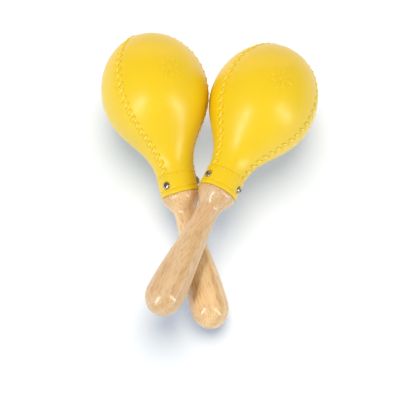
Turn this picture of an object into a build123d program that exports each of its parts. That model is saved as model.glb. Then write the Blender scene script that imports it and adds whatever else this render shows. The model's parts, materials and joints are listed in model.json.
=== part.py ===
from build123d import *
from math import cos, degrees, floor, radians, sin, sqrt
import os

# A crossed pair of maracas, lying as they are put down: millimetres, +Z up.
# The lower maraca rests on its head and on the bulb of its handle. The upper one
# rests on its head, with its handle across the lower handle.
# Each maraca is first built upright, with +Z from the butt of the handle to the
# crown, and with the seam between the last and the first shell panel on +X.

# ---- handle, turned from one piece of wood
handle_length = 115.5  # butt to the shoulder under the collar
bulb_radius = 15.9
bulb_length = 18.0  # rounded end, half an ellipse
waist_radius = 9.33
waist_to_shoulder = 17.3
shoulder_inset = 0.4  # shoulder inside the collar's outside
shoulder_round = 1.2
tenon_radius = 11.9
tenon_length = 22.0
tenon_chamfer = 1.0

# ---- head, three moulded panels round an empty shell
head_radius = 45.0
crown_height = 51.4  # widest ring to the crown
taper_length = 72.6  # collar to the widest ring
taper_head_pull = 34.0  # how far the head's width holds on, down the taper
taper_neck_pull = 28.6  # how far the neck's width holds on, up the taper
neck_inset = 0.3  # neck inside the collar's outside
wall = 2.2
sleeve_wall = 2.2  # sleeve of the shell, inside the collar
inner_step = 3.0  # height of the slope from the sleeve to the inside of the head
panel_arc = 120.0

# ---- lacing over the seams
stitch_pitch = 6.4
stitch_length = 5.5
stitch_radius = 0.8
stitch_height = 0.95  # top of a stitch above the panel
stitch_dip = 0.9  # centre of its ends below the outside of the panel, cut off flat there
stitch_slant = 52.0  # from the seam, towards the right
lacing_from_collar = 3.0
lacing_from_crown = 7.0

# ---- collar
collar_height = 17.2
collar_wall = 2.2
lip_height = 3.5
lip_proud = 0.2
groove_width = 1.0
groove_depth = 0.5
bead_radius = 0.85
bead_proud = 0.25
edge_round = 0.5

# ---- screws
screw_height = 8.2  # above the shoulder
seat_depth = 0.4
pan_radius = 3.3
pan_height = 2.1
pan_edge = 0.5
screw_length = 10.0
thread_radius = 1.75
core_radius = 1.2
thread_pitch = 1.25
thread_start = 1.0
point_length = 2.8
recess_width = 0.8
recess_length = 3.4
recess_depth = 1.2

# ---- shot inside the head
shot_radius = 2.25
shot_spacing = 4.75
shot_pool_radius = 16.5

# ---- clearances
fit_gap = 0.1  # between parts that are pushed together
thread_gap = 0.05
hole_gap = 0.15
pilot_run = 0.6  # pilot hole past the screw's point
shot_gap = 0.06  # shot to wall
stitch_gap = 0.05  # flat underside of a stitch to the panel

# ---- how the pair lies, in degrees
lower_yaw = -14.34  # heading from +Y, positive towards +X
upper_yaw = 25.9
lower_seam = -40.0  # first seam from straight up, positive to the right
upper_seam = -47.0
next_head = -5.3  # from the lower head to the upper one, from +X
steepest = 20.0  # no handle lies steeper than this
head_gap = 0.6
handle_gap = 0.4

os.makedirs("parts", exist_ok=True)

sleeve_inner = tenon_radius + fit_gap
sleeve_outer = sleeve_inner + sleeve_wall
collar_inner = sleeve_outer + fit_gap
collar_radius = collar_inner + collar_wall
shoulder_radius = collar_radius - shoulder_inset
neck_radius = collar_radius - neck_inset
seat_radius = collar_radius - seat_depth

waist_z = handle_length - waist_to_shoulder
tenon_z = handle_length + tenon_length
screw_z = handle_length + screw_height
neck_z = handle_length + collar_height
ring_z = neck_z + taper_length
crown_z = ring_z + crown_height
seams = [index * panel_arc for index in range(3)]
quarter_pull = 0.5523  # the pull at which a curve follows a quarter of a circle


def rounded_end(radius, start_z, rise):
    """A quarter of an ellipse, from its full radius to the axis."""
    return Bezier(
        (radius, start_z),
        (radius, start_z + quarter_pull * rise),
        (quarter_pull * radius, start_z + rise),
        (0, start_z + rise),
    )


def outline(proud=0.0, start_z=neck_z, lift=0.0):
    """The head's profile, as radius and height: taper from the neck, then crown.

    It stands proud of the outside. Lift moves the taper up, to even out a wall.
    """
    neck = neck_radius + proud
    ring = head_radius + proud
    taper = Bezier(
        (neck, start_z),
        (neck, neck_z + taper_neck_pull + lift),
        (ring, ring_z - taper_head_pull + lift),
        (ring, ring_z),
    )
    crown = rounded_end(ring, ring_z, crown_height + proud)
    return taper, crown


def inside():
    """The inside of the head, a wall's thickness in."""
    return outline(-wall, neck_z + inner_step, lift=0.45 * wall)


def around(angle, radius, height):
    """A plane on the axis side of a point round the maraca, facing straight out."""
    out = Vector(cos(radians(angle)), sin(radians(angle)), 0)
    return Plane(origin=out * radius + Vector(0, 0, height), x_dir=(0, 0, 1), z_dir=out)


screw_seats = [around(seam, seat_radius, screw_z) for seam in seams]

# ======== the pieces of one maraca, upright

with BuildPart() as handle:
    with BuildSketch(Plane.XZ):
        with BuildLine():
            swell = (waist_z - bulb_length) / 3
            flare = waist_to_shoulder / 3
            flare_z = handle_length - shoulder_round
            rounded_end(bulb_radius, bulb_length, -bulb_length)
            Bezier(
                (bulb_radius, bulb_length),
                (bulb_radius, bulb_length + swell),
                (waist_radius, waist_z - swell),
                (waist_radius, waist_z),
            )
            Bezier(
                (waist_radius, waist_z),
                (waist_radius, waist_z + flare),
                (shoulder_radius, flare_z - flare),
                (shoulder_radius, flare_z),
            )
            CenterArc((shoulder_radius - shoulder_round, flare_z), shoulder_round, 0, 90)
            Polyline(
                (shoulder_radius - shoulder_round, handle_length),
                (tenon_radius, handle_length),
                (tenon_radius, tenon_z - tenon_chamfer),
                (tenon_radius - tenon_chamfer, tenon_z),
                (0, tenon_z),
                (0, 0),
            )
        make_face()
    revolve(axis=Axis.Z)
    with Locations(*screw_seats):
        Hole(thread_radius + thread_gap, depth=screw_length + pilot_run)

with BuildPart() as collar:
    with BuildSketch(Plane.XZ):
        with BuildLine():
            groove_z = handle_length + lip_height
            Polyline(
                (collar_inner, handle_length),
                (collar_radius + lip_proud, handle_length),
                (collar_radius + lip_proud, groove_z),
                (collar_radius - groove_depth, groove_z),
                (collar_radius - groove_depth, groove_z + groove_width),
                (collar_radius, groove_z + groove_width),
                (collar_radius, neck_z),
                (collar_inner, neck_z),
                close=True,
            )
        make_face()
        fillet(vertices().group_by(Axis.X)[-1], radius=edge_round)
        with Locations((collar_radius + bead_proud - bead_radius, neck_z - bead_radius)):
            Circle(bead_radius)
    revolve(axis=Axis.Z)
    with Locations(*screw_seats):
        Cylinder(
            pan_radius + edge_round,
            collar_wall,
            align=(Align.CENTER, Align.CENTER, Align.MIN),
            mode=Mode.SUBTRACT,
        )
        Hole(thread_radius + hole_gap, depth=2 * collar_wall)

with BuildPart() as panel:
    with BuildSketch(Plane.XZ):
        with BuildLine():
            outline()
            inside()
            Line((0, crown_z), (0, crown_z - wall))
            Polyline(
                (neck_radius, neck_z),
                (sleeve_outer, neck_z),
                (sleeve_outer, handle_length),
                (sleeve_inner, handle_length),
                (sleeve_inner, neck_z),
                (neck_radius - wall, neck_z + inner_step),
            )
        make_face()
    revolve(axis=Axis.Z, revolution_arc=panel_arc)
    with Locations(*screw_seats):
        Hole(thread_radius + hole_gap, depth=2 * (collar_wall + sleeve_wall))

with BuildPart() as one_stitch:
    with BuildLine(Plane.XZ) as stitch_path:
        ThreePointArc(
            (-stitch_length / 2, -stitch_dip),
            (0, stitch_height - stitch_radius),
            (stitch_length / 2, -stitch_dip),
        )
    with BuildSketch(Plane(stitch_path.wire() @ 0, z_dir=stitch_path.wire() % 0)):
        Circle(stitch_radius)
    sweep(path=stitch_path.wire())
    split(bisect_by=Plane.XY.offset(stitch_gap), keep=Keep.TOP)

seam_line = Wire(outline())
lacing_length = seam_line.length - lacing_from_collar - lacing_from_crown
stitch_spots = []
for index in range(floor(lacing_length / stitch_pitch) + 1):
    along = (lacing_from_collar + index * stitch_pitch) / seam_line.length
    spot = seam_line.position_at(along)
    rise = seam_line.tangent_at(along)
    out = Vector(rise.Y, 0, -rise.X)
    slanted = Vector(rise.X, 0, rise.Y).rotate(Axis((0, 0, 0), out), -stitch_slant)
    stitch_spots.append(Plane(origin=(spot.X, 0, spot.Y), x_dir=slanted, z_dir=out))

with BuildPart() as lacing:
    with Locations(*stitch_spots):
        add(one_stitch.part, clean=False)

with BuildPart() as screw:
    with BuildSketch(Plane.XZ):
        with BuildLine():
            turns = floor((screw_length - thread_start - point_length) / thread_pitch)
            flank = [(core_radius, -thread_start)]
            for turn in range(turns):
                crest = -thread_start - (turn + 0.5) * thread_pitch
                flank += [(thread_radius, crest), (core_radius, crest - thread_pitch / 2)]
            Bezier(
                (0, pan_height),
                (0.6 * pan_radius, pan_height),
                (pan_radius, 0.7 * pan_height),
                (pan_radius, pan_edge),
            )
            Polyline(
                (pan_radius, pan_edge),
                (pan_radius, 0),
                (core_radius, 0),
                *flank,
                (0, -screw_length),
                (0, pan_height),
            )
        make_face()
    revolve(axis=Axis.Z)
    with BuildSketch(Plane.XY.offset(pan_height)):
        Rectangle(recess_length, recess_width)
        Rectangle(recess_width, recess_length)
    extrude(amount=-recess_depth, mode=Mode.SUBTRACT)

with BuildPart() as head_form:
    with BuildSketch(Plane.XZ):
        with BuildLine():
            outline()
            Polyline((0, crown_z), (0, neck_z), (neck_radius, neck_z))
        make_face()
    revolve(axis=Axis.Z)

# ======== how the two lie

head_curves = outline()
bulb_curve = rounded_end(bulb_radius, bulb_length, -bulb_length)


def lowest(curves, tilt):
    """Height of the lowest point of a turned form, above the butt, when it lies at a tilt."""
    points = [curve @ (step / 200) for curve in curves for step in range(201)]
    return min(point.Y * sin(radians(tilt)) - point.X * cos(radians(tilt)) for point in points)


def heading(yaw, tilt):
    """The direction from butt to crown."""
    flat = cos(radians(tilt))
    return Vector(sin(radians(yaw)) * flat, cos(radians(yaw)) * flat, sin(radians(tilt)))


def lying(base, yaw, tilt, seam):
    """The frame of a maraca that lies with its butt at base and its first seam turned."""
    axis = heading(yaw, tilt)
    up = (Vector(0, 0, 1) - axis * axis.Z).normalized()
    return Plane(origin=base, x_dir=up.rotate(Axis((0, 0, 0), axis), seam), z_dir=axis)


def ring_middle(middle, yaw, tilt, seam):
    """The frame of a maraca whose widest ring has its middle over a point, with its head down."""
    axis = heading(yaw, tilt)
    base = Vector(middle.X, middle.Y, 0) - Vector(axis.X, axis.Y, 0) * ring_z
    return lying(base + Vector(0, 0, -lowest(head_curves, tilt)), yaw, tilt, seam)


# the lower one: the tilt at which head and bulb touch the table together
lower_tilt, too_steep = 0.0, steepest
for _ in range(30):
    middle_tilt = (lower_tilt + too_steep) / 2
    if lowest(head_curves, middle_tilt) < lowest([bulb_curve], middle_tilt):
        lower_tilt = middle_tilt
    else:
        too_steep = middle_tilt
lower_frame = ring_middle(Vector(0, 0, 0), lower_yaw, lower_tilt, lower_seam)

# the upper one: let down beside the lower one until heads and handles nearly touch
toward = Vector(cos(radians(next_head)), sin(radians(next_head)), 0)
lower_head = lower_frame.location * head_form.part
lower_handle = lower_frame.location * handle.part
apart = 2 * head_radius + 10 * head_gap
upper_tilt = -steepest
for _ in range(14):
    upper_frame = ring_middle(toward * apart, upper_yaw, upper_tilt, upper_seam)
    heads = lower_head.distance_to(upper_frame.location * head_form.part)
    handles = lower_handle.distance_to(upper_frame.location * handle.part)
    apart -= heads - head_gap
    upper_tilt += degrees((handles - handle_gap) / ring_z)

# the origin goes to the middle of the pair's footprint
pair = Compound(
    [frame.location * form.part for frame in (lower_frame, upper_frame) for form in (head_form, handle)]
)
footprint = pair.bounding_box().center()
lower_frame.origin -= Vector(footprint.X, footprint.Y, 0)
upper_frame.origin -= Vector(footprint.X, footprint.Y, 0)

# ======== shot, a loose pool at the lowest place inside each head

inner_taper, inner_crown = inside()


def shot_track(height):
    """How far from the axis a shot lies that touches the inside of the head."""
    curve = inner_taper if height < ring_z else inner_crown
    below, above = 0.0, 1.0
    for _ in range(24):
        place = (below + above) / 2
        point, along = curve @ place, curve % place
        reach = shot_radius + shot_gap
        if point.Y + along.X * reach < height:
            below = place
        else:
            above = place
    return point.X - along.Y * reach


def shot_places(tilt, seam):
    """Shot centres on an even grid seen from above, each let down until it meets the wall."""
    slope, flat = sin(radians(tilt)), cos(radians(tilt))
    heights = [neck_z + taper_length * (0.5 + step / 50) for step in range(40)]
    bottom = min(heights, key=lambda height: height * slope - shot_track(height) * flat)
    middle = bottom * flat + shot_track(bottom) * slope
    down = Vector(-1, 0, 0).rotate(Axis.Z, -seam)
    right = Vector(0, 1, 0).rotate(Axis.Z, -seam)
    rows = floor(shot_pool_radius / (shot_spacing * sqrt(3) / 2))
    places = []
    for row in range(-rows, rows + 1):
        along = row * shot_spacing * sqrt(3) / 2
        half_row = floor(shot_pool_radius / shot_spacing)
        for column in range(-half_row - 1, half_row + 1):
            side = (column + 0.5 * (1 + row % 2)) * shot_spacing
            if sqrt(along * along + side * side) > shot_pool_radius:
                continue
            height = (middle + along) / flat
            for _ in range(8):
                depth = sqrt(shot_track(height) ** 2 - side * side)
                height = (middle + along - depth * slope) / flat
            places.append(Location(Vector(0, 0, height) + down * depth + right * side))
    return places


# ======== the pair


def hand_over(name, form, place):
    """Write one piece where it lies."""
    with BuildPart() as piece:
        with Locations(place):
            add(form, clean=False)
    piece.part.label = name
    export_step(piece.part, f"parts/{name}.step")


for side, frame, tilt, seam in (
    ("lower", lower_frame, lower_tilt, lower_seam),
    ("upper", upper_frame, upper_tilt, upper_seam),
):
    with BuildPart() as shot:
        with Locations(*shot_places(tilt, seam)):
            Sphere(shot_radius)
    hand_over(f"{side}_shot", shot.part, frame.location)
    hand_over(f"{side}_handle", handle.part, frame.location)
    hand_over(f"{side}_collar", collar.part, frame.location)
    for index, letter in enumerate("abc"):
        turned = frame.location * Rotation(0, 0, seams[index])
        hand_over(f"{side}_shell_panel_{letter}", panel.part, turned)
        hand_over(f"{side}_lacing_{'cab'[index]}{letter}", lacing.part, turned)
        hand_over(f"{side}_screw_{letter}", screw.part, frame.location * screw_seats[index].location)
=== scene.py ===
import json
import math
import random
from bisect import bisect_left

import bmesh
import bpy
from bpy.props import FloatProperty, FloatVectorProperty, IntProperty, PointerProperty
from mathutils import Matrix, Vector
from mathutils.geometry import interpolate_bezier


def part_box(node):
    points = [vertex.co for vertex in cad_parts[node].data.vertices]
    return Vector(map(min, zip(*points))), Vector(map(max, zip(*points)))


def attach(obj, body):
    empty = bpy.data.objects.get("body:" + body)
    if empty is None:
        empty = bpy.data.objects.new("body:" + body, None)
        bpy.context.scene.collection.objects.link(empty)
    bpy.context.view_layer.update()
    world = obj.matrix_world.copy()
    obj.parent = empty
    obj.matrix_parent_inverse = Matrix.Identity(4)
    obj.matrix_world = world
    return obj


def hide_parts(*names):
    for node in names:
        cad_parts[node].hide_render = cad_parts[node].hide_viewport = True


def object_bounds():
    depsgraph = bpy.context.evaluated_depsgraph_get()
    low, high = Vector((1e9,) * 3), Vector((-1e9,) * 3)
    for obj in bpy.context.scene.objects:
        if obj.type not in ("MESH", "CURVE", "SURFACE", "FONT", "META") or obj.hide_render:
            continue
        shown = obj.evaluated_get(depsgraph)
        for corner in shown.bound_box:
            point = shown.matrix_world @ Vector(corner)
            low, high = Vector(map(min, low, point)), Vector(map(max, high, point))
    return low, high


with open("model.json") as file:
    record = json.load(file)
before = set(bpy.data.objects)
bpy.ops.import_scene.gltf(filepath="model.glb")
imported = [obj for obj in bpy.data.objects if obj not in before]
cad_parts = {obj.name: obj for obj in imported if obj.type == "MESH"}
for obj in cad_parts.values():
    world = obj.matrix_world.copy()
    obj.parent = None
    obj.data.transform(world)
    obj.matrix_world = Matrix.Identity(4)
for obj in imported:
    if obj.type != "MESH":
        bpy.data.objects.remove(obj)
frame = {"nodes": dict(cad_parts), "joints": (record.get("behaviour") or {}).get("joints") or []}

bl_info = {
    "name": "Crossed maracas",
    "version": (1, 0, 0),
    "blender": (4, 5, 0),
    "location": "View3D > Sidebar > Maracas",
    "description": "Builds a crossed pair of laced maracas round their packed frame, with a studio",
    "category": "Object",
}

CAD_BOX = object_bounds()
MM = 0.001
SIDES = ("lower", "upper")
LETTERS = "abc"
SEAM_STEP = math.radians(120)
QUARTER_PULL = 0.5523  # the pull at which a curve follows a quarter of a circle
MERGE_DISTANCE = 2e-6
SHARP_ANGLE = math.radians(38)
FINE_SPACING = 0.5 * MM  # along the head, for what lies on it
WAVE_PERIOD = math.pi / 10  # from band to band of a wave texture with a scale of 1, in metres


# ======== measures


def length(name, description, millimetres):
    """A length that a user can change, given in millimetres."""
    return FloatProperty(
        name=name, description=description, default=millimetres * MM, unit="LENGTH", precision=5
    )


def linear(hex_colour):
    """An sRGB hex colour, such as F4C81E, as linear red, green and blue."""
    channels = [int(hex_colour[i : i + 2], 16) / 255 for i in (0, 2, 4)]
    return tuple(c / 12.92 if c <= 0.04045 else ((c + 0.055) / 1.055) ** 2.4 for c in channels)


def colour(name, description, hex_colour):
    """A colour that a user can change, given as sRGB hex."""
    return FloatVectorProperty(
        name=name, description=description, default=linear(hex_colour), subtype="COLOR", min=0, max=1
    )


class HandleSizes(bpy.types.PropertyGroup):
    """Sizes of the turned wooden handle."""

    length: length("Length", "Butt to the shoulder under the collar", 115.5)
    bulb_radius: length("Bulb radius", "Widest place near the butt", 15.9)
    bulb_length: length("Bulb length", "Height of the rounded butt", 18.0)
    waist_radius: length("Waist radius", "Thinnest place", 9.33)
    waist_drop: length("Waist drop", "Waist to shoulder", 17.3)
    shoulder_radius: length("Shoulder radius", "Just inside the collar", 16.1)
    shoulder_round: length("Shoulder rounding", "Rounded edge of the shoulder", 1.2)
    tenon_radius: length("Tenon radius", "Spigot inside the shell's sleeve", 11.9)
    tenon_length: length("Tenon length", "Spigot above the shoulder", 22.0)


class HeadSizes(bpy.types.PropertyGroup):
    """Sizes of the moulded head."""

    ring_radius: length("Ring radius", "Widest ring", 45.0)
    crown: length("Crown height", "Widest ring to the crown", 51.4)
    taper: length("Taper length", "Collar to the widest ring", 72.6)
    ring_pull: length("Ring pull", "How far the ring's width holds on down the taper", 34.0)
    neck_pull: length("Neck pull", "How far the neck's width holds on up the taper", 28.6)
    neck_radius: length("Neck radius", "Shell just above the collar", 16.2)
    wall: length("Wall", "Thickness of the panels", 2.2)
    sleeve_radius: length("Sleeve radius", "Shell's sleeve inside the collar", 14.2)


class SeamSizes(bpy.types.PropertyGroup):
    """Sizes of the welts, the puckers and the lacing."""

    welt_width: length("Welt half width", "Seam to the foot of the welt", 2.6)
    welt_height: length("Welt height", "Raised edge of a panel", 0.42)
    groove_width: length("Groove half width", "Rounded panel edge at the seam", 0.5)
    groove_depth: length("Groove depth", "Depth of the join between two panels", 0.6)
    bed_depth: length("Bed depth", "How deep a stitch pulls into the welt", 0.5)
    bed_width: length("Bed half width", "Across a stitch", 1.5)
    hole_depth: length("Hole depth", "Dimple where a stitch goes in", 0.62)
    hole_radius: length("Hole radius", "Size of that dimple", 1.15)
    pitch: length("Stitch pitch", "Stitch to stitch along the seam", 6.4)
    stitch_length: length("Stitch length", "End to end", 5.6)
    stitch_width: length("Stitch half width", "Across the lace", 1.05)
    stitch_thickness: length("Stitch half thickness", "Through the lace", 0.7)
    stitch_top: length("Stitch top", "Top of a stitch above the panel", 0.95)
    slant: FloatProperty(
        name="Slant", description="Lean of a stitch to the right", default=math.radians(52), subtype="ANGLE"
    )
    from_collar: length("First stitch", "Collar to the first stitch", 3.0)
    from_crown: length("Last stitch", "Last stitch to the crown", 7.0)


class RosetteSizes(bpy.types.PropertyGroup):
    """Sizes of the low relief in the middle of the first panel."""

    petals: IntProperty(name="Petals", description="Petals round the eye", default=8, min=3)
    above_ring: length("Place", "Above the widest ring", 9.7)
    petal_middle: length("Petal place", "Middle of the rosette to the middle of a petal", 7.4)
    petal_length: length("Petal length", "Along the spoke", 7.6)
    petal_width: length("Petal width", "Across the spoke", 3.6)
    eye_radius: length("Eye radius", "Round boss in the middle", 2.2)
    height: length("Height", "Relief above the panel", 0.5)


class CollarSizes(bpy.types.PropertyGroup):
    """Sizes of the moulded collar."""

    height: length("Height", "Shoulder to neck", 17.2)
    radius: length("Radius", "Outside of the band", 16.5)
    bore: length("Bore", "Inside radius", 14.3)
    lip_height: length("Lip height", "Lip at the shoulder", 3.5)
    lip_proud: length("Lip proud", "Lip beyond the band", 0.2)
    groove_width: length("Groove width", "Groove above the lip", 1.0)
    groove_depth: length("Groove depth", "Depth of that groove", 0.5)
    bead_radius: length("Bead radius", "Round bead at the top", 0.85)
    bead_proud: length("Bead proud", "Bead beyond the band", 0.25)
    seat_radius: length("Seat radius", "Flat seat of a screw, from the axis", 16.1)
    seat_size: length("Seat size", "Radius of that flat", 3.8)
    rounding: length("Rounding", "Small edges", 0.4)


class Finishes(bpy.types.PropertyGroup):
    """Colours of the materials."""

    shell: colour("Shell", "Yellow of the moulded panels", "F5D418")
    shell_deep: colour("Shell, deep", "The same plastic where it is thinner", "F1CB0C")
    # the lacing is the panels' own plastic; its lighter, paler yellow is a painted highlight on the stitch
    # beads
    lace_and_painted_highlight: colour("Lace", "Yellow of the lacing", "FFE85E")
    lower_wood: colour("Lower handle", "Light wood of the lower handle", "F6D29C")
    upper_wood: colour("Upper handle", "Light wood of the upper handle", "E4C498")
    late_wood: colour("Late growth", "Darker growth rings of both handles", "D6AA70")
    fleck: colour("Fleck", "Short dark pores along the grain", "A87645")
    nickel: colour("Nickel", "Plated screws", "C0B4A6")
    steel: colour("Steel", "Shot", "A8A8A6")
    floor: colour("Floor", "Studio table", "BEBEBE")
    floor_glow: colour("Floor glow", "Light that the table adds, which keeps shadows pale", "8B9CB1")


class StudioSizes(bpy.types.PropertyGroup):
    """Camera and floor."""

    elevation: FloatProperty(
        name="Elevation", description="Camera above the table", default=math.radians(71.6), subtype="ANGLE"
    )
    distance: FloatProperty(name="Distance", description="Camera to its aim", default=1.444, unit="LENGTH")
    aim: FloatVectorProperty(
        name="Aim", description="What the camera looks at, on the table", default=(-0.0081, -0.0072, 0.0)
    )
    lens: FloatProperty(name="Lens", description="Focal length in millimetres", default=152.0)
    floor_size: FloatProperty(name="Floor", description="Side of the floor", default=60.0, unit="LENGTH")


GROUPS = {
    "maraca_handle": HandleSizes,
    "maraca_head": HeadSizes,
    "maraca_seam": SeamSizes,
    "maraca_rosette": RosetteSizes,
    "maraca_collar": CollarSizes,
    "maraca_finish": Finishes,
    "maraca_studio": StudioSizes,
}


# ======== places, from the frame


def lying(side):
    """The matrix that lays an upright maraca down: +Z from butt to crown, +X through the first seam."""
    swirl = next(j for j in frame["joints"] if j["name"] == f"{side}_swirl")
    sizes = bpy.context.scene
    ring_z = sizes.maraca_handle.length + sizes.maraca_collar.height + sizes.maraca_head.taper
    axis = Vector(swirl["axis"]).normalized()
    butt = Vector(swirl["pos_m"]) - axis * ring_z
    vertices = frame["nodes"][f"{side}_screw_a"].data.vertices
    screw = sum((v.co for v in vertices), Vector()) / len(vertices) - butt
    first = (screw - axis * screw.dot(axis)).normalized()
    return Matrix.Translation(butt) @ Matrix((first, axis.cross(first), axis)).transposed().to_4x4()


# ======== small helpers for meshes


def curve(start, pull_start, pull_end, end, steps):
    """Points along a cubic curve, as radius and height."""
    corners = [Vector((*point, 0)) for point in (start, pull_start, pull_end, end)]
    return [Vector((p.x, p.y)) for p in interpolate_bezier(*corners, steps)]


def quarter(radius, start_z, rise, steps):
    """A quarter of an ellipse, from its full radius to the axis."""
    return curve(
        (radius, start_z),
        (radius, start_z + QUARTER_PULL * rise),
        (QUARTER_PULL * radius, start_z + rise),
        (0, start_z + rise),
        steps,
    )


def arc(middle, radius, angles):
    """Points round a middle, at angles from the direction away from the axis."""
    return [Vector(middle) + radius * Vector((math.cos(a), math.sin(a))) for a in angles]


def evenly(points, spacing):
    """The same line with its points an even distance apart, at most spacing."""
    runs = [0.0]
    for a, b in zip(points, points[1:]):
        runs.append(runs[-1] + (b - a).length)
    count = math.ceil(runs[-1] / spacing)
    line = []
    for step in range(count + 1):
        along = runs[-1] * step / count
        k = min(max(bisect_left(runs, along), 1), len(points) - 1)
        share = (along - runs[k - 1]) / max(runs[k] - runs[k - 1], 1e-12)
        line.append(points[k - 1].lerp(points[k], min(share, 1)))
    return line


def profile_edges(mesh, points, closed):
    """Puts a profile of radius and height into a mesh, in the plane of X and Z."""
    verts = [mesh.verts.new((p.x, 0, p.y)) for p in points]
    pairs = list(zip(verts, verts[1:])) + ([(verts[-1], verts[0])] if closed else [])
    return verts, [mesh.edges.new(pair) for pair in pairs]


def turned(points, steps, closed=False):
    """A new mesh with a profile spun all the way round +Z."""
    mesh = bmesh.new()
    verts, edges = profile_edges(mesh, points, closed)
    bmesh.ops.spin(
        mesh,
        geom=verts + edges,
        axis=(0, 0, 1),
        cent=(0, 0, 0),
        angle=2 * math.pi,
        steps=steps,
        use_merge=True,
    )
    return mesh


def turn_all(mesh, angle, axis, verts):
    """Turns vertices about an axis through the middle."""
    bmesh.ops.rotate(mesh, cent=(0, 0, 0), matrix=Matrix.Rotation(angle, 3, axis), verts=verts)


def finish_mesh(mesh, name, place, material):
    """Cleans an upright mesh, lays it down by a matrix and makes it an object."""
    bmesh.ops.remove_doubles(mesh, verts=mesh.verts, dist=MERGE_DISTANCE)
    bmesh.ops.dissolve_degenerate(mesh, edges=mesh.edges, dist=MERGE_DISTANCE / 20)
    bmesh.ops.recalc_face_normals(mesh, faces=mesh.faces)
    bmesh.ops.transform(mesh, matrix=place, verts=mesh.verts)
    for face in mesh.faces:
        face.smooth = True
    data = bpy.data.meshes.new(name)
    mesh.to_mesh(data)
    mesh.free()
    data.set_sharp_from_angle(angle=SHARP_ANGLE)
    piece = bpy.data.objects.new(name, data)
    bpy.context.scene.collection.objects.link(piece)
    data.materials.append(material)
    return piece


def hand_over(piece, side, slot, *nodes):
    """Makes a piece ride on its maraca, in place of CAD nodes."""
    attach(piece, f"{side}_maraca")
    if nodes:
        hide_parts(*nodes)


def smoothstep(x):
    """0 below 0, 1 above 1, and an even turn between."""
    x = min(max(x, 0.0), 1.0)
    return x * x * (3 - 2 * x)


class Meridian:
    """The outside of the head along a seam: places, slopes and runs from the collar to the crown."""

    detail = 200  # points along each of its two curves, before they are spaced evenly

    def __init__(self, scene, spacing):
        head = scene.maraca_head
        neck_z = scene.maraca_handle.length + scene.maraca_collar.height
        ring_z = neck_z + head.taper
        taper = curve(
            (head.neck_radius, neck_z),
            (head.neck_radius, neck_z + head.neck_pull),
            (head.ring_radius, ring_z - head.ring_pull),
            (head.ring_radius, ring_z),
            self.detail,
        )
        crown = quarter(head.ring_radius, ring_z, head.crown, self.detail)
        self.ring_z = ring_z
        self.neck_z = neck_z
        self.points = evenly(taper + crown[1:], spacing)
        self.spacing = (self.points[1] - self.points[0]).length
        self.total = self.spacing * (len(self.points) - 1)

    def place(self, run):
        """Radius and height at a run from the collar, and the direction towards the crown."""
        k = min(max(run / self.spacing, 0), len(self.points) - 1.001)
        i = int(k)
        rise = (self.points[i + 1] - self.points[i]).normalized()
        return self.points[i].lerp(self.points[i + 1], k - i), rise

    def run_of(self, height):
        """The run from the collar to a height."""
        i = min(range(len(self.points)), key=lambda n: abs(self.points[n].y - height))
        return i * self.spacing

    def stitches(self, seam):
        """Runs at which the stitches of a seam have their middles."""
        count = int((self.total - seam.from_collar - seam.from_crown) / seam.pitch) + 1
        return [seam.from_collar + k * seam.pitch for k in range(count)]


# ======== materials


def add_node(tree, kind, inputs=None, **settings):
    """Adds a node. Inputs hold plain values, or the sockets that they are linked from."""
    node = tree.nodes.new(kind)
    for name, value in settings.items():
        setattr(node, name, value)
    for name, value in (inputs or {}).items():
        if isinstance(value, bpy.types.NodeSocket):
            tree.links.new(value, node.inputs[name])
        else:
            node.inputs[name].default_value = value
    return node


def new_material(name, **surface):
    """A material with one principled shader, and its node tree."""
    material = bpy.data.materials.new(name)
    material.use_nodes = True
    tree = material.node_tree
    shader = tree.nodes["Principled BSDF"]
    for socket, value in surface.items():
        shader.inputs[socket.replace("_", " ")].default_value = value
    return material, tree, shader


def rgba(values):
    """A colour with full alpha."""
    return (*values, 1.0)


def across(millimetres):
    """The scale of a pattern whose marks are this many millimetres across."""
    return 1 / (millimetres * MM)


def spread(tree, value, lowest, highest, to_lowest, to_highest):
    """A value's range stretched to another, and held at its ends."""
    ends = {"From Min": lowest, "From Max": highest, "To Min": to_lowest, "To Max": to_highest}
    return add_node(tree, "ShaderNodeMapRange", {"Value": value, **ends}).outputs["Result"]


def moulded_plastic(name, main, deep, roughness, fineness=1.0):
    """Injection moulded polythene: soft gloss, a faint orange peel and cloudy thickness."""
    material, tree, shader = new_material(
        name,
        IOR=1.5,
        Subsurface_Weight=0.06,
        Subsurface_Radius=(6 * MM, 4 * MM, 1 * MM),
        Subsurface_Scale=1.0,
        Coat_Weight=0.45,
        Coat_Roughness=0.55,
        Coat_IOR=1.5,
    )
    place = add_node(tree, "ShaderNodeTexCoord").outputs["Object"]
    # clouds about 36 mm across: the wall is not quite even
    cloud_scale = across(35.71) * fineness
    clouds = add_node(tree, "ShaderNodeTexNoise", {"Vector": place, "Scale": cloud_scale, "Detail": 2.0})
    tint = add_node(
        tree,
        "ShaderNodeMix",
        {0: clouds.outputs["Fac"], 6: rgba(main), 7: rgba(deep)},
        data_type="RGBA",
    )
    tree.links.new(tint.outputs[2], shader.inputs["Base Color"])
    # scuffs from handling, about 8 mm across, change only the gloss
    scuffs = add_node(tree, "ShaderNodeTexNoise", {"Vector": place, "Scale": across(8.333), "Detail": 4.0})
    gloss = spread(tree, scuffs.outputs["Fac"], 0.3, 0.7, roughness - 0.04, roughness + 0.05)
    tree.links.new(gloss, shader.inputs["Roughness"])
    # orange peel about 1.6 mm across, drawn a little coarser than it is, so that it shows
    peel_scale = across(1.613) * fineness
    peel = add_node(tree, "ShaderNodeTexNoise", {"Vector": place, "Scale": peel_scale, "Detail": 2.0})
    bump = add_node(
        tree, "ShaderNodeBump", {"Height": peel.outputs["Fac"], "Strength": 0.12, "Distance": 0.4 * MM}
    )
    tree.links.new(bump.outputs["Normal"], shader.inputs["Normal"])
    return material


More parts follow.
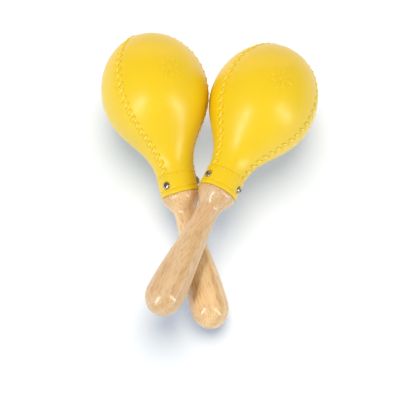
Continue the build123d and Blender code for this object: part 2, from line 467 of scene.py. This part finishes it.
def turned_wood(name, light_wood, finish, place):
    """Lacquered rubberwood turned along its grain: honey growth bands and short dark pores."""
    material, tree, shader = new_material(
        name, Roughness=0.42, IOR=1.5, Coat_Weight=0.7, Coat_Roughness=0.09, Coat_IOR=1.5
    )
    upright = place.inverted()
    where = add_node(tree, "ShaderNodeTexCoord").outputs["Object"]
    along = add_node(
        tree,
        "ShaderNodeMapping",
        {"Vector": where, "Location": upright.to_translation(), "Rotation": upright.to_euler()},
    ).outputs["Vector"]

    def drawn_out(share):
        """The place with everything along the grain drawn out."""
        mapping = add_node(tree, "ShaderNodeMapping", {"Vector": along, "Scale": (1.0, 1.0, share)})
        return mapping.outputs["Vector"]

    # growth bands, about 10 mm apart across the log and eleven times as long along it
    log = drawn_out(0.09)
    wobble = add_node(tree, "ShaderNodeTexNoise", {"Vector": log, "Scale": across(16.67), "Detail": 3.0})
    band_scale = WAVE_PERIOD * across(9.817)
    bands = add_node(
        tree,
        "ShaderNodeTexWave",
        {"Vector": log, "Scale": band_scale, "Distortion": 5.0, "Detail": 3.0, "Detail Scale": 1.4},
        bands_direction="X",
    )
    growth = add_node(
        tree, "ShaderNodeMath", {0: bands.outputs["Fac"], 1: wobble.outputs["Fac"]}, operation="MULTIPLY"
    )
    body = add_node(
        tree,
        "ShaderNodeMix",
        {0: growth.outputs["Value"], 6: rgba(light_wood), 7: rgba(finish.late_wood)},
        data_type="RGBA",
    )
    # fine grain: streaks 1 mm wide and 10 mm long, coarser than they are so that they show
    fine = {"Vector": drawn_out(0.1), "Scale": across(1.02), "Detail": 2.0, "Roughness": 0.5}
    grain = add_node(tree, "ShaderNodeTexNoise", fine)
    streak = spread(tree, grain.outputs["Fac"], 0.48, 0.68, 0.0, 0.4)
    # pores: dashes in drifts, in cells 2 mm wide and 10 mm long, coarser than they are too
    cells = drawn_out(0.2)
    dots = {"Vector": cells, "Scale": across(1.923), "Randomness": 1.0}
    pores = add_node(tree, "ShaderNodeTexVoronoi", dots)
    drifts = add_node(tree, "ShaderNodeTexNoise", {"Vector": cells, "Scale": across(6.667), "Detail": 2.0})
    dash = spread(tree, pores.outputs["Distance"], 0.42, 0.22, 0.0, 1.0)
    some = spread(tree, drifts.outputs["Fac"], 0.42, 0.6, 0.0, 0.5)
    drawn = add_node(tree, "ShaderNodeMath", {0: dash, 1: some}, operation="MULTIPLY")
    fleck = add_node(tree, "ShaderNodeMath", {0: drawn.outputs["Value"], 1: streak}, operation="MAXIMUM")
    flecked = add_node(
        tree,
        "ShaderNodeMix",
        {0: fleck.outputs["Value"], 6: body.outputs[2], 7: rgba(finish.fleck)},
        data_type="RGBA",
    )
    tree.links.new(flecked.outputs[2], shader.inputs["Base Color"])
    bump = add_node(
        tree,
        "ShaderNodeBump",
        {"Height": fleck.outputs["Value"], "Strength": 0.25, "Distance": 0.3 * MM},
        invert=True,
    )
    tree.links.new(bump.outputs["Normal"], shader.inputs["Normal"])
    return material


def plated_metal(name, tint, roughness, mark):
    """Plated or drawn steel: bright, with rubbing marks, in millimetres, that change tone and gloss."""
    material, tree, shader = new_material(name, Metallic=1.0)
    place = add_node(tree, "ShaderNodeTexCoord").outputs["Object"]
    rubbed = add_node(tree, "ShaderNodeTexNoise", {"Vector": place, "Scale": across(mark), "Detail": 5.0})
    tone = add_node(
        tree,
        "ShaderNodeMix",
        {0: rubbed.outputs["Fac"], 6: rgba(tint), 7: rgba([c * 0.8 for c in tint])},
        data_type="RGBA",
    )
    tree.links.new(tone.outputs[2], shader.inputs["Base Color"])
    gloss = spread(tree, rubbed.outputs["Fac"], 0.3, 0.7, roughness - 0.05, roughness + 0.08)
    tree.links.new(gloss, shader.inputs["Roughness"])
    return material


def shared(name, make, *values):
    """The material of a name, made the first time that it is asked for."""
    return bpy.data.materials.get(name) or make(name, *values)


def yellow_plastic(finish):
    """The plastic that panels, collars and rosettes share."""
    return shared("moulded_yellow_plastic", moulded_plastic, finish.shell, finish.shell_deep, 0.33)


# ======== pieces


class MARACA_OT_shells(bpy.types.Operator):
    """Builds the three moulded panels of each head, with welts and puckers along the seams"""

    bl_idname = "maraca.shells"
    bl_label = "Shell panels"

    columns = 96  # round one panel, closest together at its seams
    row_spacing = 0.55 * MM
    crowding = 2.0  # power by which the columns crowd at the seams
    solid_neck = 3 * MM  # the panel is solid this far above the collar, where the sleeve joins it
    inner_shift = 1 * MM  # the inside widens this much later than the outside
    fade = 1.5 * MM  # the relief grows over this run above the collar
    hole_offset = 0.3  # a hole's middle lies this share of its radius past the stitch's end
    inside_steps = (24, 20)  # along the inside's two curves
    digits = 8  # decimal places to which heights of one row agree
    on_axis, on_line = 1e-7, 1e-6  # how near counts as on the axis, and as on the outside

    def pucker(self, seam, off, past, hand):
        """Depth of one stitch's bed and holes, off the seam and past the stitch's middle."""
        along_seam, to_side = math.cos(seam.slant), hand * math.sin(seam.slant)
        along_stitch = past * along_seam + off * to_side
        beside_stitch = past * to_side - off * along_seam
        end = abs(along_stitch) - 0.5 * seam.stitch_length
        reach = 1 - smoothstep(end / seam.hole_radius)
        bed = seam.bed_depth * math.exp(-((beside_stitch / seam.bed_width) ** 2)) * reach
        from_hole = math.hypot(end - self.hole_offset * seam.hole_radius, beside_stitch)
        hole = seam.hole_depth * math.exp(-((from_hole / seam.hole_radius) ** 2))
        return bed + hole

    def relief(self, seam, off, run, hand):
        """Height of the welt, the join and the puckers, off the seam on one hand (-1 or 1)."""
        rise = seam.welt_height * (1 - smoothstep(off / seam.welt_width))
        rise -= seam.groove_depth * max(0.0, 1 - off / seam.groove_width) ** 2
        past = (run - seam.from_collar) % seam.pitch
        return rise - max(self.pucker(seam, off, past - step, hand) for step in (0, seam.pitch))

    def section(self, scene, meridian):
        """A panel's section: outside, inside and its third of the sleeve in the collar."""
        head = scene.maraca_head
        collar_foot = scene.maraca_handle.length
        inner_neck = head.neck_radius - head.wall
        inner_ring = head.ring_radius - head.wall
        inside = curve(
            (inner_neck, meridian.neck_z + self.solid_neck),
            (inner_neck, meridian.neck_z + head.neck_pull + self.inner_shift),
            (inner_ring, meridian.ring_z - head.ring_pull + self.inner_shift),
            (inner_ring, meridian.ring_z),
            self.inside_steps[0],
        )
        crown = quarter(inner_ring, meridian.ring_z, head.crown - head.wall, self.inside_steps[1])
        sleeve = [
            Vector((head.sleeve_radius - head.wall, meridian.neck_z)),
            Vector((head.sleeve_radius - head.wall, collar_foot)),
            Vector((head.sleeve_radius, collar_foot)),
            Vector((head.sleeve_radius, meridian.neck_z)),
        ]
        return meridian.points + (inside + crown[1:])[::-1] + sleeve

    def press(self, mesh, seam, meridian):
        """Crowds the columns at the seams, and presses the relief into the outside."""
        row_of = {round(p.y, self.digits): row for row, p in enumerate(meridian.points)}
        for vert in mesh.verts:
            radius, height = math.hypot(vert.co.x, vert.co.y), vert.co.z
            if radius < self.on_axis:
                continue
            share = math.atan2(vert.co.y, vert.co.x) / SEAM_STEP
            hand = 1 if share <= 0.5 else -1
            crowded = 0.5 * (2 * min(share, 1 - share)) ** self.crowding
            angle = SEAM_STEP * (crowded if hand == 1 else 1 - crowded)
            row = row_of.get(round(height, self.digits))
            if row is not None and abs(radius - meridian.points[row].x) < self.on_line:
                run = row * meridian.spacing
                rise = self.relief(seam, radius * crowded * SEAM_STEP, run, hand)
                rise *= smoothstep(run / self.fade)
                slope = meridian.place(run)[1]
                radius += rise * slope.y
                height -= rise * slope.x
            vert.co = (radius * math.cos(angle), radius * math.sin(angle), height)

    def panel(self, scene, meridian):
        """One panel, upright, from its first seam on +X round to its second."""
        mesh = bmesh.new()
        verts, edges = profile_edges(mesh, self.section(scene, meridian), closed=True)
        bmesh.ops.contextual_create(mesh, geom=edges)
        spun = bmesh.ops.spin(
            mesh,
            geom=verts + edges,
            axis=(0, 0, 1),
            cent=(0, 0, 0),
            angle=SEAM_STEP,
            steps=self.columns,
            use_merge=False,
        )
        last = [item for item in spun["geom_last"] if isinstance(item, bmesh.types.BMEdge)]
        bmesh.ops.contextual_create(mesh, geom=last)
        self.press(mesh, scene.maraca_seam, meridian)
        return mesh

    def execute(self, context):
        scene = context.scene
        meridian = Meridian(scene, self.row_spacing)
        plastic = yellow_plastic(scene.maraca_finish)
        upright = self.panel(scene, meridian)
        for side in SIDES:
            for index, letter in enumerate(LETTERS):
                place = lying(side) @ Matrix.Rotation(index * SEAM_STEP, 4, "Z")
                name = f"{side}_shell_panel_{letter}"
                piece = finish_mesh(upright.copy(), f"{name}_moulded", place, plastic)
                hand_over(piece, side, "yellow_plastic", name)
        upright.free()
        return {"FINISHED"}


class MARACA_OT_lacing(bpy.types.Operator):
    """Builds the slanted stitches over the seams"""

    bl_idname = "maraca.lacing"
    bl_label = "Lacing"

    unevenness = 0.05  # hand-laced look: share by which stitches differ
    overrun = 1.08  # a stitch goes this much beyond its length, into its holes
    narrowing = 0.25  # share of its width that it has lost at its ends
    dive, dive_power = 1.15 * MM, 2.5  # how far the ends bend down, and how late

    def stitch(self, seam, stretch, lean):
        """One stitch lying on the XY plane, leaning from X, its ends bent down."""
        mesh = bmesh.new()
        bmesh.ops.create_uvsphere(mesh, u_segments=12, v_segments=8, radius=1)
        turn_all(mesh, math.pi / 2, "Y", mesh.verts)
        half = 0.5 * seam.stitch_length * stretch
        middle = seam.stitch_top - seam.stitch_thickness
        for vert in mesh.verts:
            x, y, z = vert.co
            vert.co = (
                half * self.overrun * x,
                seam.stitch_width * y * (1 - self.narrowing * x * x),
                middle + seam.stitch_thickness * z - self.dive * abs(x) ** self.dive_power,
            )
        turn_all(mesh, lean - seam.slant, "Z", mesh.verts)
        return mesh

    def seam(self, sizes, meridian, wobble):
        """All stitches of the seam over +X, upright."""
        laced = bmesh.new()
        for run in meridian.stitches(sizes):
            point, rise = meridian.place(run)
            up = Vector((rise.x, 0, rise.y))
            out = Vector((rise.y, 0, -rise.x))
            spot = Matrix((up, out.cross(up), out)).transposed().to_4x4()
            spot.translation = (point.x, 0, point.y)
            stretch = 1 + self.unevenness * (wobble.random() - 0.5)
            one = self.stitch(sizes, stretch, self.unevenness * (wobble.random() - 0.5))
            bmesh.ops.transform(one, matrix=spot, verts=one.verts)
            scratch = bpy.data.meshes.new("stitch")
            one.to_mesh(scratch)
            one.free()
            laced.from_mesh(scratch)
            bpy.data.meshes.remove(scratch)
        return laced

    def execute(self, context):
        scene = context.scene
        finish = scene.maraca_finish
        meridian = Meridian(scene, FINE_SPACING)
        # the lace colour, lighter and paler than the shell's, is a painted highlight on the stitch beads
        lace_and_painted_highlight = shared("yellow_plastic_lace_and_painted_highlight", moulded_plastic, finish.lace_and_painted_highlight, finish.shell, 0.34, 1.5)
        for side in SIDES:
            for index, pair in enumerate(("ca", "ab", "bc")):
                laced = self.seam(scene.maraca_seam, meridian, random.Random(f"{side}{pair}"))
                place = lying(side) @ Matrix.Rotation(index * SEAM_STEP, 4, "Z")
                name = f"{side}_lacing_{pair}"
                piece = finish_mesh(laced, f"{name}_stitches", place, lace_and_painted_highlight)
                hand_over(piece, side, "lacing", name)
        return {"FINISHED"}


class MARACA_OT_rosettes(bpy.types.Operator):
    """Builds the low moulded rosette in the middle of each first panel"""

    bl_idname = "maraca.rosettes"
    bl_label = "Rosettes"

    narrowing = 0.3  # a petal is this share narrower at its tip than in its middle
    flatness = 0.7  # power by which the domes are flattened

    def boss(self, mesh, size, height, middle, angle):
        """A low domed oval on the XY plane, its long side along a spoke."""
        verts = bmesh.ops.create_uvsphere(mesh, u_segments=32, v_segments=16, radius=1)["verts"]
        for vert in verts:
            x, y, z = vert.co
            dome = math.copysign(abs(z) ** self.flatness, z)
            width = size[1] * (1 - self.narrowing * x)
            vert.co = (middle + x * size[0] / 2, y * width / 2, dome * height)
        turn_all(mesh, angle, "Z", verts)

    def rosette(self, sizes, meridian):
        """The petals and the eye, bent over the middle of the first panel, upright."""
        mesh = bmesh.new()
        petal = (sizes.petal_length, sizes.petal_width)
        for index in range(sizes.petals):
            self.boss(mesh, petal, sizes.height, sizes.petal_middle, 2 * math.pi * index / sizes.petals)
        self.boss(mesh, (2 * sizes.eye_radius, 2 * sizes.eye_radius), sizes.height, 0, 0)
        middle_run = meridian.run_of(meridian.ring_z + sizes.above_ring)
        for vert in mesh.verts:
            along, aside, lift = vert.co
            point, rise = meridian.place(middle_run + along)
            angle = SEAM_STEP / 2 + aside / point.x
            radius = point.x + lift * rise.y
            vert.co = (radius * math.cos(angle), radius * math.sin(angle), point.y - lift * rise.x)
        return mesh

    def execute(self, context):
        scene = context.scene
        meridian = Meridian(scene, FINE_SPACING)
        plastic = yellow_plastic(scene.maraca_finish)
        for side in SIDES:
            mesh = self.rosette(scene.maraca_rosette, meridian)
            piece = finish_mesh(mesh, f"{side}_shell_rosette", lying(side), plastic)
            hand_over(piece, side, "yellow_plastic")
        return {"FINISHED"}


class MARACA_OT_collars(bpy.types.Operator):
    """Builds the moulded collars, with a bead, a lip and flat seats for the screws"""

    bl_idname = "maraca.collars"
    bl_label = "Collars"

    steps = 180
    band_rows = 22  # up the band, so that the screw seats have clean edges
    groove_lean = 0.1 * MM  # of the groove's sides
    bead_gap = 0.15 * MM  # hollow line under the bead
    bead_start = -0.38 * math.pi  # where the bead's round comes out of that hollow
    bead_points = 8
    foot_angles = (0.5, 1.0, math.pi / 2)  # of the points round the lip's lower edge
    lip_angles = (0, 0.55, 1.1, math.pi / 2)  # and round its upper edge
    edge_in, edge_down = 0.3, 0.7  # shares of the rounding for the point between groove and band

    def profile(self, sizes, foot):
        """The collar's section, as radius and height, round from its bore."""
        top = foot + sizes.height
        lip = sizes.radius + sizes.lip_proud
        groove = foot + sizes.lip_height
        groove_floor = sizes.radius - sizes.groove_depth
        r = sizes.rounding
        band_foot = groove + sizes.groove_width + r
        band = top - 2 * sizes.bead_radius - self.bead_gap - band_foot
        bead = (sizes.radius + sizes.bead_proud - sizes.bead_radius, top - sizes.bead_radius)
        bead_turn = (math.pi / 2 - self.bead_start) / self.bead_points
        points = [Vector((sizes.bore, foot)), Vector((lip - r, foot))]
        points += arc((lip - r, foot + r), r, [a - math.pi / 2 for a in self.foot_angles])
        points += arc((lip - r, groove - r), r, self.lip_angles)
        points.append(Vector((groove_floor, groove + self.groove_lean)))
        points.append(Vector((groove_floor, groove + sizes.groove_width - self.groove_lean)))
        points.append(Vector((sizes.radius - self.edge_in * r, band_foot - self.edge_down * r)))
        for row in range(self.band_rows + 1):
            points.append(Vector((sizes.radius, band_foot + band * row / self.band_rows)))
        bead_angles = [self.bead_start + bead_turn * step for step in range(self.bead_points + 1)]
        points += arc(bead, sizes.bead_radius, bead_angles)
        points.append(Vector((sizes.bore, top)))
        return points

    def flatten_seats(self, mesh, sizes, screw_z):
        """Presses a flat into the band behind each screw head."""
        for index in range(3):
            out = Vector((math.cos(index * SEAM_STEP), math.sin(index * SEAM_STEP), 0))
            for vert in mesh.verts:
                reach = vert.co.dot(out)
                aside = vert.co - out * reach - Vector((0, 0, screw_z))
                if reach > sizes.seat_radius and aside.length < sizes.seat_size:
                    vert.co -= out * (reach - sizes.seat_radius)

    def execute(self, context):
        scene = context.scene
        sizes = scene.maraca_collar
        plastic = yellow_plastic(scene.maraca_finish)
        for side in SIDES:
            place = lying(side)
            low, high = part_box(f"{side}_screw_a")
            screw_z = (place.inverted() @ ((low + high) / 2)).z
            mesh = turned(self.profile(sizes, scene.maraca_handle.length), self.steps, closed=True)
            self.flatten_seats(mesh, sizes, screw_z)
            piece = finish_mesh(mesh, f"{side}_collar_moulded", place, plastic)
            hand_over(piece, side, "yellow_plastic", f"{side}_collar")
        return {"FINISHED"}


class MARACA_OT_handles(bpy.types.Operator):
    """Builds the turned wooden handles"""

    bl_idname = "maraca.handles"
    bl_label = "Handles"

    steps = 128
    butt_steps, grip_steps, shoulder_steps = 28, 60, 24
    corner_angles = (0.4, 0.8, 1.2, math.pi / 2)  # of the points round the shoulder's edge
    tenon_chamfer = 1 * MM

    def profile(self, sizes):
        """The handle's outline, as radius and height, from butt to the end of the tenon."""
        waist_z = sizes.length - sizes.waist_drop
        edge_z = sizes.length - sizes.shoulder_round
        swell = (waist_z - sizes.bulb_length) / 3
        flare = sizes.waist_drop / 3
        butt = quarter(sizes.bulb_radius, sizes.bulb_length, -sizes.bulb_length, self.butt_steps)[::-1]
        grip = curve(
            (sizes.bulb_radius, sizes.bulb_length),
            (sizes.bulb_radius, sizes.bulb_length + swell),
            (sizes.waist_radius, waist_z - swell),
            (sizes.waist_radius, waist_z),
            self.grip_steps,
        )
        shoulder = curve(
            (sizes.waist_radius, waist_z),
            (sizes.waist_radius, waist_z + flare),
            (sizes.shoulder_radius, edge_z - flare),
            (sizes.shoulder_radius, edge_z),
            self.shoulder_steps,
        )
        r = sizes.shoulder_round
        corner = arc((sizes.shoulder_radius - r, edge_z), r, self.corner_angles)
        tenon_z = sizes.length + sizes.tenon_length
        tenon = [
            Vector((sizes.tenon_radius, sizes.length)),
            Vector((sizes.tenon_radius, tenon_z - self.tenon_chamfer)),
            Vector((sizes.tenon_radius - self.tenon_chamfer, tenon_z)),
            Vector((0, tenon_z)),
        ]
        return butt + grip[1:] + shoulder[1:] + corner + tenon

    def execute(self, context):
        scene = context.scene
        finish = scene.maraca_finish
        for side in SIDES:
            place = lying(side)
            wood = turned_wood(f"lacquered_rubberwood_{side}", getattr(finish, f"{side}_wood"), finish, place)
            mesh = turned(self.profile(scene.maraca_handle), self.steps)
            piece = finish_mesh(mesh, f"{side}_handle_turned", place, wood)
            hand_over(piece, side, "turned_wood", f"{side}_handle")
        return {"FINISHED"}


class MARACA_OT_metal(bpy.types.Operator):
    """Gives the screws and the shot their metals"""

    bl_idname = "maraca.metal"
    bl_label = "Screws and shot"

    def execute(self, context):
        finish = context.scene.maraca_finish
        nickel = shared("nickel_plated_steel", plated_metal, finish.nickel, 0.2, 1.111)
        steel = shared("plain_steel_shot", plated_metal, finish.steel, 0.35, 2.0)
        for side in SIDES:
            metals = [(f"{side}_screw_{letter}", nickel) for letter in LETTERS] + [(f"{side}_shot", steel)]
            for node, metal in metals:
                data = frame["nodes"][node].data
                data.materials.clear()
                data.materials.append(metal)
        return {"FINISHED"}


class MARACA_OT_studio(bpy.types.Operator):
    """Sets up the pale floor, the soft lights and the camera"""

    bl_idname = "maraca.studio"
    bl_label = "Studio"

    # name, azimuth, elevation, distance, width and height in metres, watts, tint
    overhead_light = ("overhead_softbox", -42, 72, 1.5, (0.13, 0.13), 8.5, (1.0, 0.93, 0.9))
    soft_lights = (
        ("back_wall", 0, 22, 1.8, (2.6, 0.9), 8.2, (1.0, 0.74, 0.64)),
        ("left_softbox", -132, 38, 1.5, (0.26, 1.1), 9.2, (1.0, 1.0, 1.0)),
        ("right_softbox", 122, 30, 1.5, (0.26, 1.2), 9.0, (1.0, 0.96, 0.86)),
    )
    floor_lamp_place = (0, 72, 3.0)  # azimuth, elevation, distance
    floor_lamp_strength = 4.0
    floor_lamp_tint = (1.0, 0.94, 0.8)
    floor_lamp_spread = math.radians(46)
    room_tint, room_strength = (1.0, 0.98, 0.96, 1.0), 0.265
    table_gap = 0.05 * MM  # keeps the floor out of the lowest faces
    sight = 20  # how far the camera sees, in metres

    def hang(self, name, lamp, azimuth, elevation, distance, lit):
        """Aims a lamp at the maracas, for one collection. Azimuth 0 is behind them, 90 on their right."""
        a, e = math.radians(azimuth), math.radians(elevation)
        way = Vector((math.sin(a) * math.cos(e), math.cos(a) * math.cos(e), math.sin(e)))
        hung = bpy.data.objects.new(name, lamp)
        hung.location = way * distance
        hung.rotation_euler = way.to_track_quat("Z", "Y").to_euler()
        hung.light_linking.receiver_collection = lit
        bpy.context.scene.collection.objects.link(hung)
        return hung

    def softbox(self, name, azimuth, elevation, distance, size, watts, tint, lit):
        """A rectangular light."""
        lamp = bpy.data.lights.new(name, "AREA")
        lamp.shape = "RECTANGLE"
        lamp.size, lamp.size_y = size
        lamp.energy = watts
        lamp.color = tint
        return self.hang(name, lamp, azimuth, elevation, distance, lit)

    def floor_lamp(self, lit):
        """A broad far lamp for the floor alone: an even white with one soft shadow."""
        lamp = bpy.data.lights.new("floor_lamp", "SUN")
        lamp.energy = self.floor_lamp_strength
        lamp.color = self.floor_lamp_tint
        lamp.angle = self.floor_lamp_spread
        self.hang("floor_lamp", lamp, *self.floor_lamp_place, lit)

    def paper(self, shade, glow):
        """Matt paper: white once its glow adds to the lamp, and the glow keeps its shadow pale and cool."""
        material, tree, shader = new_material(
            "matt_white_paper", Roughness=0.9, Emission_Color=rgba(glow), Emission_Strength=1.0
        )
        place = add_node(tree, "ShaderNodeTexCoord").outputs["Object"]
        # paper fibres in tufts 1 mm across
        fibres = add_node(tree, "ShaderNodeTexNoise", {"Vector": place, "Scale": across(1.111)})
        tone = add_node(
            tree,
            "ShaderNodeMix",
            {0: fibres.outputs["Fac"], 6: rgba(shade), 7: rgba([c * 0.99 for c in shade])},
            data_type="RGBA",
        )
        tree.links.new(tone.outputs[2], shader.inputs["Base Color"])
        return material

    def floor(self, sizes, finish):
        """The paper floor, just under the lowest point."""
        mesh = bmesh.new()
        bmesh.ops.create_grid(mesh, x_segments=2, y_segments=2, size=sizes.floor_size / 2)
        place = Matrix.Translation((0, 0, CAD_BOX[0][2] - self.table_gap))
        paper = self.paper(finish.floor, finish.floor_glow)
        floor = finish_mesh(mesh, "studio_floor", place, paper)
        return floor

    def lights(self, floor):
        """The lights on the maracas, the lamp on the floor, and the room."""
        floor_alone = bpy.data.collections.new("floor_alone")
        floor_alone.objects.link(floor)
        all_but_floor = bpy.data.collections.new("all_but_floor")
        all_but_floor.objects.link(floor)
        all_but_floor.collection_objects[0].light_linking.link_state = "EXCLUDE"
        self.softbox(*self.overhead_light, all_but_floor).visible_glossy = False
        for soft_light in self.soft_lights:
            self.softbox(*soft_light, all_but_floor)
        self.floor_lamp(floor_alone)
        world = bpy.data.worlds.new("white_studio")
        world.use_nodes = True
        background = world.node_tree.nodes["Background"]
        background.inputs["Color"].default_value = self.room_tint
        background.inputs["Strength"].default_value = self.room_strength
        bpy.context.scene.world = world

    def camera(self, scene, sizes):
        """The camera, in front of the maracas and high above them."""
        camera = bpy.data.objects.new("camera", bpy.data.cameras.new("camera"))
        camera.data.lens = sizes.lens
        camera.data.clip_end = self.sight
        back = Vector((0, -math.cos(sizes.elevation), math.sin(sizes.elevation)))
        camera.location = Vector(sizes.aim) + back * sizes.distance
        camera.rotation_euler = back.to_track_quat("Z", "Y").to_euler()
        scene.collection.objects.link(camera)
        scene.camera = camera

    def execute(self, context):
        scene = context.scene
        self.lights(self.floor(scene.maraca_studio, scene.maraca_finish))
        self.camera(scene, scene.maraca_studio)
        scene.view_settings.view_transform = "Standard"
        return {"FINISHED"}


OPERATORS = (
    MARACA_OT_shells,
    MARACA_OT_lacing,
    MARACA_OT_rosettes,
    MARACA_OT_collars,
    MARACA_OT_handles,
    MARACA_OT_metal,
    MARACA_OT_studio,
)


class VIEW3D_PT_maracas(bpy.types.Panel):
    """Lists the pieces that can be built"""

    bl_label = "Crossed maracas"
    bl_space_type = "VIEW_3D"
    bl_region_type = "UI"
    bl_category = "Maracas"

    def draw(self, context):
        for operator in OPERATORS:
            self.layout.operator(operator.bl_idname)
        for name in GROUPS:
            group = getattr(context.scene, name)
            box = self.layout.box()
            for prop in group.bl_rna.properties:
                if prop.identifier not in {"rna_type", "name"}:
                    box.prop(group, prop.identifier)


CLASSES = (*GROUPS.values(), *OPERATORS, VIEW3D_PT_maracas)


def register():
    for cls in CLASSES:
        bpy.utils.register_class(cls)
    for name, group in GROUPS.items():
        setattr(bpy.types.Scene, name, PointerProperty(type=group))


def unregister():
    for name in GROUPS:
        delattr(bpy.types.Scene, name)
    for cls in reversed(CLASSES):
        bpy.utils.unregister_class(cls)


def main():
    register()
    bpy.ops.maraca.shells()
    bpy.ops.maraca.lacing()
    bpy.ops.maraca.rosettes()
    bpy.ops.maraca.collars()
    bpy.ops.maraca.handles()
    bpy.ops.maraca.metal()
    bpy.ops.maraca.studio()
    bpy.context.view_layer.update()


if __name__ == "__main__":
    main()
